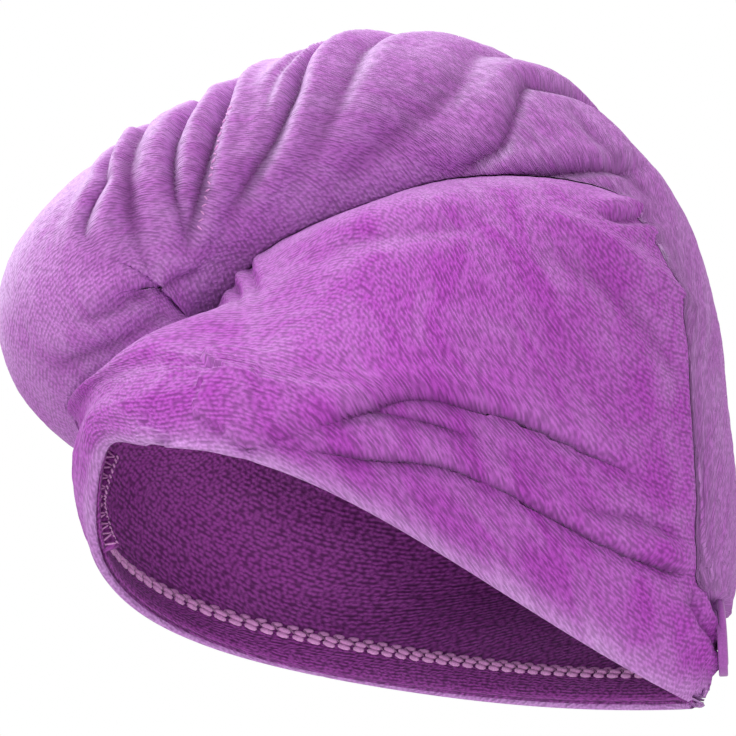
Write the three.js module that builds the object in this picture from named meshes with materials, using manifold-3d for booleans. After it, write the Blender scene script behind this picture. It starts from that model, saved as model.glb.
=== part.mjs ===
// A hair turban towel in the form it has on a head: a hood, a wound tail folded back over the crown,
// a turned hem, an overlocked front seam, and a button with its loop at the nape.
// Millimetres. The face looks along -Y, +Z is up, and the origin is the middle of the opening.
import * as THREE from "three";
import { mergeVertices } from "three/addons/utils/BufferGeometryUtils.js";
import Module from "manifold-3d";

const wasm = await Module();
wasm.setup();

// Driving sizes
const OPENING_LENGTH = 203; // forehead edge to nape edge, measured level
const OPENING_DROP = 59; // how much lower the nape edge is than the forehead edge
const HOOD_WIDTH = 170; // across the widest part of the hood
const HOOD_HEIGHT = 160; // middle of the opening to the top of the hood
const CLOTH = 3.2; // wall of the hood
const RIGHT_FLARE = 6; // how much further out the right side stands at the opening than the left
const RIGHT_DROP = 3.4; // and how much lower it hangs
const FRONT_TUCK = 13; // how much higher the left front quarter of the opening is tucked
const SIDE_FOLD_STEP = 2.4; // how far the cloth steps out at the folds along the sides
const TAIL_WIDTH = 112; // across the wound tail where it bulges over the forehead
const TAIL_FOLD_DEPTH = 5; // deepest fold round the tail
const PIECE_GAP = 0.5; // clearance between neighbouring pieces
const HEM_THICKNESS = 1.8;
const SEAM_WIDTH = 5.5; // how far the seam allowance stands into the hood
const SEAM_THICKNESS = 2.6;
const SEAM_LENGTH = 44;
const SEAM_CLEARANCE = 0.8; // between the seam allowance and the wall behind it
const BUTTON_DIAMETER = 18;
const BUTTON_THICKNESS = 3;
const LOOP_CORD = 2.4;
const LOOP_LENGTH = 24;

// Steps of the meshes
const HOOD_AROUND = 60;
const HOOD_LEVELS = 24;
const TAIL_AROUND = 28;
const TAIL_STEPS = 64;
const HEM_STEPS = 26; // of the hood's own steps, so the hem ends just before the nape
const HEM_LEVELS = 3; // of the hood's own levels, about 13 mm up from the opening
const SEAM_STEPS = 10;
const BUTTON_SIDES = 24;
const CLASP_TOP = 0.3; // the highest level of the hood that the clasp lies against
const CLASP_SEATS = 8; // places below it where the hood's back is measured
const LOOP_SIDES = 8;
const LOOP_STEPS = 24;
const LOOP_SPREAD = 0.8; // of the button's radius, how far the loop's two sides stand apart
const LOOP_SHOULDER = 0.35; // of the loop's length, where it is at its widest
const SHARE_STEP = 0.01; // of a table's length, for slopes and for lengths along a face

const HALF_LENGTH = OPENING_LENGTH / 2;
const HALF_WIDTH = HOOD_WIDTH / 2;
const HALF_DROP = OPENING_DROP / 2;

// The hood, one row for each level from the opening to the crown: front and back are shares of half
// the opening's length, width a share of half the hood's width, up a share of its height, tilt and
// lift shares of half the opening's drop for the level's slope and for how high its front quarters
// stand, egg says how much wider its front is than its back, and lip how far the rolled fold over
// the forehead stands out in front of the wall, as a share of half the opening's length.
const HOOD_LEVEL_TABLE = [
  { front: -1, back: 1, width: 0.79, egg: 0.82, up: -0.005, tilt: 1.05, lift: 0.42, lip: 0 },
  { front: -1.035, back: 1.03, width: 0.84, egg: 0.7, up: 0.05, tilt: 1.05, lift: 0.36, lip: 0 },
  { front: -1.06, back: 1.05, width: 0.9, egg: 0.54, up: 0.13, tilt: 1.06, lift: 0.26, lip: 0 },
  { front: -1.03, back: 1.04, width: 0.95, egg: 0.36, up: 0.22, tilt: 1.1, lift: 0.08, lip: 0 },
  { front: -0.99, back: 1.05, width: 0.98, egg: 0.18, up: 0.295, tilt: 0.98, lift: -0.08, lip: 0.03 },
  { front: -0.93, back: 1.06, width: 1, egg: 0, up: 0.365, tilt: 0.77, lift: -0.16, lip: 0.1 },
  { front: -0.86, back: 1.06, width: 1, egg: -0.16, up: 0.455, tilt: 0.33, lift: -0.14, lip: 0.08 },
  { front: -0.77, back: 1.06, width: 0.98, egg: -0.2, up: 0.55, tilt: -0.04, lift: -0.04, lip: 0.03 },
  { front: -0.69, back: 1.04, width: 0.93, egg: -0.18, up: 0.655, tilt: -0.22, lift: 0.02, lip: 0 },
  { front: -0.59, back: 1, width: 0.84, egg: -0.12, up: 0.77, tilt: -0.24, lift: 0, lip: 0 },
  { front: -0.46, back: 0.9, width: 0.62, egg: -0.08, up: 0.87, tilt: -0.24, lift: 0, lip: 0 },
  { front: -0.14, back: 0.65, width: 0.34, egg: 0, up: 0.96, tilt: -0.15, lift: 0, lip: 0 },
  { front: 0.25, back: 0.3, width: 0.03, egg: 0, up: 1, tilt: 0, lift: 0, lip: 0 },
];

const RIGHT_REACH = 0.34; // share of the levels over which the right side hangs fuller
const TUCK_TURN = 0.075; // where the left front quarter is tucked up most, in turns from the forehead
const TUCK_SPREAD = 0.042;
const TUCK_REACH = 0.24; // share of the levels over which it is tucked up
const PINCH_START = 0.6; // of the tail's length, where its section starts to thin towards its sides
const PINCH = 0.7;

// Folds along the hood's sides, seen from the side: each is a bow through three places, along in
// shares of half the opening's length and up in shares of the hood's height. step is a share of
// SIDE_FOLD_STEP, and the cloth above a fold stands out over the cloth below it.
const SIDE_FOLD_REACH = 0.055; // how far above its fold the cloth stands out most
const SIDE_FOLD_UNDER = 0.35; // how much less it sinks below the fold than it stands out above
const SIDE_START = 0.25; // of half the hood's width, where the folds begin towards the side
const SIDE_FULL = 0.6; // and where they are at their full depth
const SIDE_FOLDS = [
  { along0: -0.8, up0: 0.2, along1: 0.1, up1: 0.23, along2: 1.0, up2: 0.11, step: 1 },
  { along0: -0.4, up0: 0.19, along1: 0.25, up1: 0.13, along2: 0.85, up2: -0.03, step: 0.8 },
];

// The tail's route in the middle plane, from under the bulge over the forehead to the nape: along
// and up as above, over, under and width shares of TAIL_WIDTH for how far its outside, its underside
// and its two sides lie from the route.
const TAIL_TABLE = [
  { along: -0.8, up: 0.49, over: 0.2, under: 0.1, width: 0.36 },
  { along: -0.97, up: 0.6, over: 0.25, under: 0.26, width: 0.47 },
  { along: -1.02, up: 0.745, over: 0.3, under: 0.33, width: 0.5 },
  { along: -0.9, up: 0.87, over: 0.29, under: 0.36, width: 0.5 },
  { along: -0.71, up: 0.955, over: 0.325, under: 0.37, width: 0.5 },
  { along: -0.49, up: 1.01, over: 0.345, under: 0.36, width: 0.5 },
  { along: -0.26, up: 1.08, over: 0.365, under: 0.37, width: 0.5 },
  { along: 0, up: 1.12, over: 0.37, under: 0.375, width: 0.5 },
  { along: 0.25, up: 1.1, over: 0.36, under: 0.355, width: 0.48 },
  { along: 0.46, up: 1.03, over: 0.325, under: 0.31, width: 0.45 },
  { along: 0.65, up: 0.93, over: 0.295, under: 0.27, width: 0.41 },
  { along: 0.81, up: 0.81, over: 0.245, under: 0.22, width: 0.37 },
  { along: 0.93, up: 0.66, over: 0.17, under: 0.16, width: 0.33 },
  { along: 1, up: 0.49, over: 0.11, under: 0.12, width: 0.3 },
  { along: 1.03, up: 0.3, over: 0.1, under: 0.09, width: 0.27 },
  { along: 1.035, up: 0.14, over: 0.085, under: 0.075, width: 0.22 },
  { along: 1.03, up: 0.02, over: 0.065, under: 0.065, width: 0.16 },
];

// Folds round the tail: near, over and far are where each one crosses the left side, the outside and
// the right side, as shares of the tail's length. deep is a share of TAIL_FOLD_DEPTH, and breadth a
// share of the tail's length.
const TAIL_FOLD_START = -0.6; // round the tail's underside (-1) to its outside (1), where they begin
const TAIL_FOLD_FULL = 0.1; // and where they are at their full depth
const TAIL_FOLDS = [
  { near: 0.22, over: 0.2, far: 0.17, deep: 0.7, breadth: 0.014 },
  { near: 0.25, over: 0.27, far: 0.26, deep: 0.6, breadth: 0.014 },
  { near: 0.29, over: 0.345, far: 0.37, deep: 1.0, breadth: 0.012 },
  { near: 0.33, over: 0.41, far: 0.46, deep: 0.8, breadth: 0.012 },
  { near: 0.38, over: 0.475, far: 0.55, deep: 0.6, breadth: 0.014 },
  { near: 0.47, over: 0.57, far: 0.64, deep: 0.5, breadth: 0.02 },
  { near: 0.58, over: 0.68, far: 0.76, deep: 0.4, breadth: 0.022 },
];

// A row's values at a share of the way down a table, on a smooth curve through its rows.
function rowAt(table, share) {
  const last = table.length - 1;
  const place = Math.min(Math.max(share, 0), 1) * last;
  const index = Math.min(Math.floor(place), last - 1);
  const t = place - index;
  const row = {};
  for (const key of Object.keys(table[0])) {
    const b = table[index][key];
    const c = table[index + 1][key];
    const a = index > 0 ? table[index - 1][key] : 2 * b - c;
    const d = index + 2 <= last ? table[index + 2][key] : 2 * c - b;
    row[key] = b + 0.5 * t * (c - a + t * (2 * a - 5 * b + 4 * c - d + t * (3 * (b - c) + d - a)));
  }
  return row;
}

// A point of the hood's wall. share runs from 0 at the opening to 1 at the crown, and turn from 0 at
// the forehead to 0.5 at the nape and on round. lip is 1 on the outer face and 0 on the hollow's.
function hoodPoint(share, turn, lip) {
  const row = rowAt(HOOD_LEVEL_TABLE, share);
  const angle = 2 * Math.PI * turn;
  const ahead = (1 + Math.cos(angle)) / 2;
  const tilt = row.tilt * Math.cos(angle) + row.lift * Math.sin(angle) ** 2 * (1 + Math.cos(angle));
  const right = Math.max(-Math.sin(angle), 0) ** 2 * Math.max(1 - share / RIGHT_REACH, 0) ** 2;
  const round = turn - Math.floor(turn);
  const tuck = Math.exp(-(((round - TUCK_TURN) / TUCK_SPREAD) ** 2)) * Math.max(1 - share / TUCK_REACH, 0);
  return new THREE.Vector3(
    HALF_WIDTH * row.width * Math.sin(angle) * (1 + row.egg * Math.cos(angle)) - RIGHT_FLARE * right,
    HALF_LENGTH * ((row.front - row.lip * lip) * ahead + row.back * (1 - ahead)),
    HOOD_HEIGHT * row.up + HALF_DROP * tilt - RIGHT_DROP * right + FRONT_TUCK * tuck,
  );
}

// The outward direction of the hood's face at a point.
function hoodNormal(share, turn, lip) {
  const low = Math.max(share - SHARE_STEP, 0);
  const high = Math.min(share + SHARE_STEP, 1);
  const up = hoodPoint(high, turn, lip).sub(hoodPoint(low, turn, lip));
  const round = hoodPoint(share, turn + SHARE_STEP, lip).sub(hoodPoint(share, turn - SHARE_STEP, lip));
  return round.cross(up).normalize();
}

// A point out from the hood's outer face, and one in from it, inside the hollow.
function outerPoint(share, turn, out) {
  return hoodPoint(share, turn, 1).addScaledVector(hoodNormal(share, turn, 1), out);
}

function insidePoint(share, turn, depth) {
  return hoodPoint(share, turn, 0).addScaledVector(hoodNormal(share, turn, 0), -CLOTH - depth);
}

// The share of the hood's levels at a height above the opening's edge, measured along the cloth.
function shareAtHeight(turn, height) {
  let share = 0;
  let left = height;
  while (share < 1) {
    const run = hoodPoint(share, turn, 0).distanceTo(hoodPoint(share + SHARE_STEP, turn, 0));
    if (run >= left) return share + (SHARE_STEP * left) / run;
    left -= run;
    share += SHARE_STEP;
  }
  return 1;
}

// How far the folds push the hood's face out at a point.
function sideFoldStep(point) {
  const along = point.y / HALF_LENGTH;
  const up = point.z / HOOD_HEIGHT;
  const onSide = THREE.MathUtils.smoothstep(Math.abs(point.x) / HALF_WIDTH, SIDE_START, SIDE_FULL);
  let push = 0;
  for (const fold of SIDE_FOLDS) {
    const t = (along - fold.along0) / (fold.along2 - fold.along0);
    if (t < 0 || t > 1) continue;
    const middle = (fold.along1 - fold.along0) / (fold.along2 - fold.along0);
    const bow = (fold.up1 - fold.up0 - (fold.up2 - fold.up0) * middle) / (middle * (1 - middle));
    const height = up - (fold.up0 + (fold.up2 - fold.up0) * t + bow * t * (1 - t));
    const ends = Math.sqrt(Math.sin(Math.PI * t));
    const off = height / SIDE_FOLD_REACH;
    const size = SIDE_FOLD_STEP * fold.step * (off > 0 ? 1 : SIDE_FOLD_UNDER);
    push += size * ends * off * Math.exp((1 - off * off) / 2);
  }
  return push * onSide;
}

function ring(count, place) {
  return Array.from({ length: count }, (_, i) => place(i / count));
}

// A closed mesh over rings of points of one length, its first and last ring each closed by a fan to
// their middle.
function skin(rings) {
  const around = rings[0].length;
  const corners = rings.flat();
  const faces = [];
  for (let i = 0; i < rings.length - 1; i++)
    for (let j = 0; j < around; j++) {
      const a = i * around + j;
      const b = i * around + ((j + 1) % around);
      faces.push(a, b, b + around, a, b + around, a + around);
    }
  for (const [first, flip] of [[0, true], [(rings.length - 1) * around, false]]) {
    const middle = new THREE.Vector3();
    for (let j = 0; j < around; j++) middle.addScaledVector(corners[first + j], 1 / around);
    corners.push(middle);
    for (let j = 0; j < around; j++) {
      const a = first + j;
      const b = first + ((j + 1) % around);
      faces.push(...(flip ? [b, a] : [a, b]), corners.length - 1);
    }
  }
  const geometry = new THREE.BufferGeometry().setFromPoints(corners);
  geometry.setIndex(faces);
  return geometry;
}

// A closed geometry as a solid, and a solid as a geometry.
function toSolid(geometry) {
  const bare = geometry.clone();
  bare.deleteAttribute("normal");
  bare.deleteAttribute("uv");
  const merged = mergeVertices(bare, 1e-4);
  const vertProperties = new Float32Array(merged.attributes.position.array);
  const triVerts = new Uint32Array(merged.index.array);
  return new wasm.Manifold(new wasm.Mesh({ numProp: 3, vertProperties, triVerts }));
}

function toGeometry(solid) {
  const { vertProperties, triVerts } = solid.getMesh();
  const geometry = new THREE.BufferGeometry();
  geometry.setAttribute("position", new THREE.BufferAttribute(vertProperties, 3));
  geometry.setIndex(new THREE.BufferAttribute(triVerts, 1));
  return geometry;
}

// The largest body of a solid, without the slivers that a cut leaves.
function mainBody(solid) {
  return solid.decompose().sort((a, b) => b.volume() - a.volume())[0];
}

// The hood's outer face with its folds, grown by a little where it cuts its neighbour.
function outerRings(grown) {
  return Array.from({ length: HOOD_LEVELS + 1 }, (_, i) => {
    const share = i / HOOD_LEVELS;
    return ring(HOOD_AROUND, (turn) => {
      return outerPoint(share, turn, grown + (i > 0 ? sideFoldStep(hoodPoint(share, turn, 1)) : 0));
    });
  });
}

// The hood's wall: the hollow from its top down to the opening, then the outer face up again.
function makeHood() {
  const hollow = Array.from({ length: HOOD_LEVELS + 1 }, (_, i) =>
    ring(HOOD_AROUND, (turn) => insidePoint(1 - i / HOOD_LEVELS, turn, 0)),
  );
  return skin([...hollow, ...outerRings(0)]);
}

// How far the folds sink the tail's face. side runs from 1 at the left through 0 to -1 at the right.
function tailFoldDepth(share, side, out) {
  let depth = 0;
  for (const fold of TAIL_FOLDS) {
    const middle = fold.over + (fold.near - fold.far) * 0.5 * side;
    const place = middle + ((fold.near + fold.far) / 2 - fold.over) * side * side;
    depth += fold.deep * Math.exp(-(((share - place) / fold.breadth) ** 2));
  }
  return TAIL_FOLD_DEPTH * depth * THREE.MathUtils.smoothstep(out, TAIL_FOLD_START, TAIL_FOLD_FULL);
}

// The wound tail, cut to lie on the hood.
function makeTail() {
  const across = new THREE.Vector3(1, 0, 0);
  const rings = [];
  for (let i = 0; i <= TAIL_STEPS; i++) {
    const share = i / TAIL_STEPS;
    const row = rowAt(TAIL_TABLE, share);
    const next = rowAt(TAIL_TABLE, share + SHARE_STEP);
    const last = rowAt(TAIL_TABLE, share - SHARE_STEP);
    const run = HALF_LENGTH * (next.along - last.along);
    const rise = HOOD_HEIGHT * (next.up - last.up);
    const outward = new THREE.Vector3(0, -rise, run).normalize();
    const centre = new THREE.Vector3(0, HALF_LENGTH * row.along, HOOD_HEIGHT * row.up);
    rings.push(ring(TAIL_AROUND, (turn) => {
      const side = Math.cos(2 * Math.PI * turn);
      const out = -Math.sin(2 * Math.PI * turn);
      const thin = Math.abs(out) ** (PINCH * THREE.MathUtils.smoothstep(share, PINCH_START, 1));
      const thick = (out > 0 ? row.over : row.under) * thin;
      const depth = tailFoldDepth(share, side, out);
      return centre.clone()
        .addScaledVector(across, (TAIL_WIDTH * row.width - depth) * side)
        .addScaledVector(outward, (TAIL_WIDTH * thick - depth) * out);
    }));
  }
  return toGeometry(mainBody(toSolid(skin(rings)).subtract(toSolid(skin(outerRings(PIECE_GAP))))));
}

// One side's hem, turned up inside the opening from the front seam to the nape. side is 1 or -1.
function makeHem(side) {
  const start = (SEAM_THICKNESS / 2 + PIECE_GAP) / (2 * Math.PI * HALF_WIDTH);
  const outer = PIECE_GAP;
  const inner = PIECE_GAP + HEM_THICKNESS;
  const rings = [];
  for (let i = 0; i <= HEM_STEPS; i++) {
    const turn = Math.max(i / HOOD_AROUND, start);
    const shares = Array.from({ length: HEM_LEVELS + 1 }, (_, level) => level / HOOD_LEVELS);
    rings.push([
      ...shares.map((share) => insidePoint(share, side * turn, outer)),
      ...shares.reverse().map((share) => insidePoint(share, side * turn, inner)),
    ]);
  }
  return skin(side < 0 ? rings : rings.reverse());
}

// The overlocked seam allowance, a strip that stands into the hollow at the middle of the forehead.
function makeFrontSeam() {
  const half = SEAM_THICKNESS / 2;
  const rings = [];
  for (let i = 0; i <= SEAM_STEPS; i++) {
    const share = shareAtHeight(0, (SEAM_LENGTH * i) / SEAM_STEPS);
    const seat = insidePoint(share, 0, SEAM_CLEARANCE);
    const edge = insidePoint(share, 0, SEAM_CLEARANCE + SEAM_WIDTH);
    rings.push([[seat, -half], [seat, half], [edge, half], [edge, -half]].map(
      ([point, x]) => new THREE.Vector3(x, point.y, point.z)));
  }
  return skin(rings);
}

// The button on the nape and the loop of cord that holds the tail's end to it, as one piece that
// stands upright against the hood's back, from a height down.
function makeNapeClasp(top) {
  const radius = BUTTON_DIAMETER / 2;
  const button = new THREE.CylinderGeometry(radius, radius, BUTTON_THICKNESS, BUTTON_SIDES);
  button.translate(0, BUTTON_THICKNESS / 2, -LOOP_LENGTH + radius);
  const half = LOOP_SPREAD * radius;
  const shoulder = -LOOP_SHOULDER * LOOP_LENGTH;
  const route = new THREE.CatmullRomCurve3([
    new THREE.Vector3(-half / 2, LOOP_CORD / 2, 0),
    new THREE.Vector3(-half, LOOP_CORD / 2, shoulder),
    new THREE.Vector3(-half, LOOP_CORD / 2, -LOOP_LENGTH + radius),
    new THREE.Vector3(half, LOOP_CORD / 2, -LOOP_LENGTH + radius),
    new THREE.Vector3(half, LOOP_CORD / 2, shoulder),
    new THREE.Vector3(half / 2, LOOP_CORD / 2, 0),
  ]);
  const section = new THREE.Shape().absarc(0, 0, LOOP_CORD / 2, 0, 2 * Math.PI);
  const cord = new THREE.ExtrudeGeometry(section, {
    steps: LOOP_STEPS, curveSegments: LOOP_SIDES, extrudePath: route,
  });
  const clasp = toGeometry(toSolid(button).add(toSolid(cord)));
  const backs = ring(CLASP_SEATS, (share) => hoodPoint(CLASP_TOP * share, 0.5, 1).y);
  return clasp.translate(0, Math.max(...backs) + PIECE_GAP, top);
}

const COLOURS = { pile: 0xb05abb, inside: 0x8a4391, thread: 0xe08ada, button: 0x9a4aa3 };

function piece(name, geometry, color, roughness) {
  const material = new THREE.MeshStandardMaterial({ color, roughness, metalness: 0 });
  const mesh = new THREE.Mesh(geometry, material);
  mesh.name = name;
  return mesh;
}

const tail = makeTail();
tail.computeBoundingBox();
const tailEnd = tail.boundingBox.min.z;

const towel = new THREE.Group();
towel.add(piece("hood", makeHood(), COLOURS.pile, 0.95));
towel.add(piece("twisted_tail", tail, COLOURS.pile, 0.95));
towel.add(piece("rim_hem_left", makeHem(1), COLOURS.inside, 0.95));
towel.add(piece("rim_hem_right", makeHem(-1), COLOURS.inside, 0.95));
towel.add(piece("front_seam", makeFrontSeam(), COLOURS.thread, 0.8));
towel.add(piece("nape_clasp", makeNapeClasp(tailEnd - PIECE_GAP), COLOURS.button, 0.5));
export default towel;
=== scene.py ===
# A hair turban towel in its worn form, dressed for a photograph of its left side from below.
# Meshes are worked out in millimetres and stored in metres.
import math

import bpy
import numpy as np
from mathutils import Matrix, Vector
from mathutils.bvhtree import BVHTree


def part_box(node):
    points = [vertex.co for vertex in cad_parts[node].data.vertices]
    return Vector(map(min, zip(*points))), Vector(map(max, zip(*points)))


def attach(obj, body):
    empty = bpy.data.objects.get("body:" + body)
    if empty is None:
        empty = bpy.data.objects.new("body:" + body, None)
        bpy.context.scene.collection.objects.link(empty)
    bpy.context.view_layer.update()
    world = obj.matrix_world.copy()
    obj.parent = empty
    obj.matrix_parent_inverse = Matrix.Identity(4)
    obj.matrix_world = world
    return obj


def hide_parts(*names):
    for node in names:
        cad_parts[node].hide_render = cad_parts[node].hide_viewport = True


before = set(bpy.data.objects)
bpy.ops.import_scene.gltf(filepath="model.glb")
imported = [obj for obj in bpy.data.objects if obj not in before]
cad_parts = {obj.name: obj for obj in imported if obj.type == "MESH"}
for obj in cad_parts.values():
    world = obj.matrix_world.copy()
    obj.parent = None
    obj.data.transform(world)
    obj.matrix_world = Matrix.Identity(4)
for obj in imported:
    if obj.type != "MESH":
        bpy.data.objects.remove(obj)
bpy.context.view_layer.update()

bl_info = {
    "name": "Turban Towel",
    "version": (1, 0, 0),
    "blender": (4, 5, 0),
    "location": "View3D > Sidebar > Turban",
    "description": "Models a wound hair towel of pile cloth with its hem, seam, stitches and clasp",
    "category": "Add Mesh",
}

MM = 0.001

# Mesh steps
HOOD_AROUND, HOOD_LEVELS, HOLLOW_LEVELS = 330, 196, 60
TAIL_AROUND, TAIL_STEPS = 250, 360
RIM_STEPS = 5
SHARE_STEP = 0.004

# The hood, a row for each level from the opening to the crown. front, back and lip are shares of half
# the opening's length, width of half the hood's width, up of its height, tilt and lift of half the
# opening's drop; egg says how much wider the front is than the back.
HOOD_COLUMNS = ("front", "back", "width", "egg", "up", "tilt", "lift", "lip")
HOOD_ROWS = np.array((
    (-1, 1, 0.79, 0.82, -0.005, 1.05, 0.42, 0),
    (-1.035, 1.03, 0.84, 0.7, 0.05, 1.05, 0.36, 0),
    (-1.06, 1.05, 0.9, 0.54, 0.13, 1.06, 0.26, 0),
    (-1.03, 1.04, 0.95, 0.36, 0.22, 1.1, 0.08, 0),
    (-0.99, 1.05, 0.98, 0.18, 0.295, 0.98, -0.08, 0.06),
    (-0.93, 1.06, 1, 0, 0.365, 0.77, -0.16, 0.165),
    (-0.86, 1.06, 1, -0.16, 0.455, 0.33, -0.14, 0.13),
    (-0.77, 1.06, 0.98, -0.2, 0.55, -0.04, -0.04, 0.05),
    (-0.69, 1.04, 0.93, -0.18, 0.655, -0.22, 0.02, 0),
    (-0.59, 1, 0.84, -0.12, 0.77, -0.24, 0, 0),
    (-0.46, 0.9, 0.62, -0.08, 0.87, -0.24, 0, 0),
    (-0.14, 0.65, 0.34, 0, 0.96, -0.15, 0, 0),
    (0.25, 0.3, 0.03, 0, 1, 0, 0, 0),
))
FAR_REACH = 0.34  # of the levels, how far up the right side hangs fuller than the left
FAR_FLARE = 6.0  # mm, how much further out it stands at the opening
FAR_DROP = 3.4  # mm, how much lower
TUCK, TUCK_TURN, TUCK_SPREAD, TUCK_REACH = 13.0, 0.075, 0.042, 0.24  # the left front quarter, tucked up
LIP_RISE, LIP_TURN, LIP_SPREAD, LIP_SHARE, LIP_REACH = 11.0, 0.14, 0.035, 0.5, 0.13  # the rolled edge's crest
PINCH_START, PINCH = 0.6, 0.7  # where the tail's section thins towards its sides, and how much

# The tail's route in the middle plane, a row for each section from under the bulge over the forehead
# to the nape: along and up place it, over, under and width are its three half sizes, as shares of
# the tail's width.
TAIL_ROWS = np.array((
    (-0.8, 0.53, 0.1, 0.28, 0.36),
    (-0.97, 0.62, 0.215, 0.32, 0.47),
    (-1.02, 0.745, 0.3, 0.36, 0.5),
    (-0.9, 0.87, 0.29, 0.36, 0.5),
    (-0.71, 0.955, 0.325, 0.37, 0.5),
    (-0.49, 1.01, 0.345, 0.36, 0.5),
    (-0.26, 1.08, 0.365, 0.37, 0.5),
    (0, 1.12, 0.37, 0.375, 0.5),
    (0.25, 1.1, 0.36, 0.355, 0.48),
    (0.46, 1.03, 0.325, 0.31, 0.45),
    (0.65, 0.93, 0.295, 0.27, 0.41),
    (0.81, 0.81, 0.245, 0.22, 0.37),
    (0.93, 0.66, 0.17, 0.16, 0.33),
    (1, 0.49, 0.11, 0.12, 0.3),
    (1.03, 0.3, 0.1, 0.09, 0.27),
    (1.035, 0.14, 0.085, 0.075, 0.22),
    (1.03, 0.02, 0.065, 0.065, 0.16),
))

# The photograph's camera: degrees, millimetres, and its frame's pixels
VIEW_AZIMUTH, VIEW_ELEVATION = 96.0, -28.0
VIEW_DISTANCE = 1200.0
VIEW_TARGET = np.array((0.0, -8.0, 98.0))
FRAME_PIXELS = 736
MM_PER_PIXEL = 0.345
SENSOR = 36.0

# Folds, each along places in the photograph's frame, in pixels. rise is how far the cloth on the
# left of the run stands over the cloth on its right, sink how deep the crease is and bulge how far
# the cloth swells beside it, in mm; reach is how wide that is, in mm, and fade_in and fade_out the
# shares of the run over which it starts and dies away.
HOOD_FOLDS = (
    dict(run=((178, 449), (206, 451), (246, 446), (282, 437), (329, 423), (368, 409)),
         rise=2.6, sink=1.0, bulge=0.8, reach=3.6, hold=4.0, fade_in=0.3, fade_out=0.2),
    dict(run=((300, 432), (329, 422), (368, 408), (403, 397), (432, 397), (462, 403), (518, 418),
              (568, 441), (614, 464), (673, 499)),
         rise=4.2, sink=2.6, bulge=1.2, reach=3.6, hold=4.0, fade_in=0.15, fade_out=0.4),
    dict(run=((366, 410), (391, 414), (431, 423), (462, 434), (500, 440)),
         rise=1.4, sink=2.2, bulge=1.0, reach=3.0, hold=3.2, fade_in=0.1, fade_out=0.5),
    dict(run=((258, 447), (305, 449), (368, 457), (415, 460), (445, 465), (474, 476), (499, 486),
              (532, 504), (568, 523), (614, 547), (661, 565), (697, 579)),
         rise=3.6, sink=2.6, bulge=1.4, reach=3.6, hold=3.2, fade_in=0.25, fade_out=0.1),
    dict(run=((590, 212), (620, 217), (645, 216), (668, 225), (692, 246), (704, 268)),
         rise=1.6, sink=2.8, bulge=1.3, reach=3.6, hold=3.2, fade_in=0.2, fade_out=0.3),
    dict(run=((495, 203), (532, 211), (568, 225), (603, 242), (638, 263), (673, 289), (712, 360)),
         rise=0.0, sink=-2.6, bulge=0.0, reach=9.0, hold=3.2, fade_in=0.3, fade_out=0.3),
    dict(run=((520, 240), (568, 262), (610, 290), (650, 330), (690, 400)),
         rise=0.0, sink=1.5, bulge=0.8, reach=9.0, hold=3.2, fade_in=0.3, fade_out=0.3),
    dict(run=((300, 262), (360, 240), (430, 228), (500, 226)),
         rise=0.0, sink=1.1, bulge=0.9, reach=9.0, hold=3.2, fade_in=0.3, fade_out=0.3),
    dict(run=((232, 262), (233, 280), (238, 300), (240, 318)),
         rise=0.0, sink=2.4, bulge=1.0, reach=2.6, hold=3.2, fade_in=0.2, fade_out=0.5),
    dict(run=((246, 256), (250, 272), (257, 292), (262, 306)),
         rise=0.0, sink=2.2, bulge=1.0, reach=2.6, hold=3.2, fade_in=0.2, fade_out=0.5),
    dict(run=((690, 583), (695, 607), (700, 623), (709, 635), (714, 647), (716, 666)),
         rise=0.0, sink=2.2, bulge=1.2, reach=3.0, hold=3.2, fade_in=0.1, fade_out=0.1),
    dict(run=((650, 528), (657, 546), (668, 566)),
         rise=0.0, sink=-2.0, bulge=0.0, reach=3.4, hold=3.2, fade_in=0.3, fade_out=0.3),
    dict(run=((560, 496), (600, 512), (640, 520), (690, 546)),
         rise=0.8, sink=1.8, bulge=0.8, reach=3.6, hold=3.2, fade_in=0.3, fade_out=0.3),
)
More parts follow.
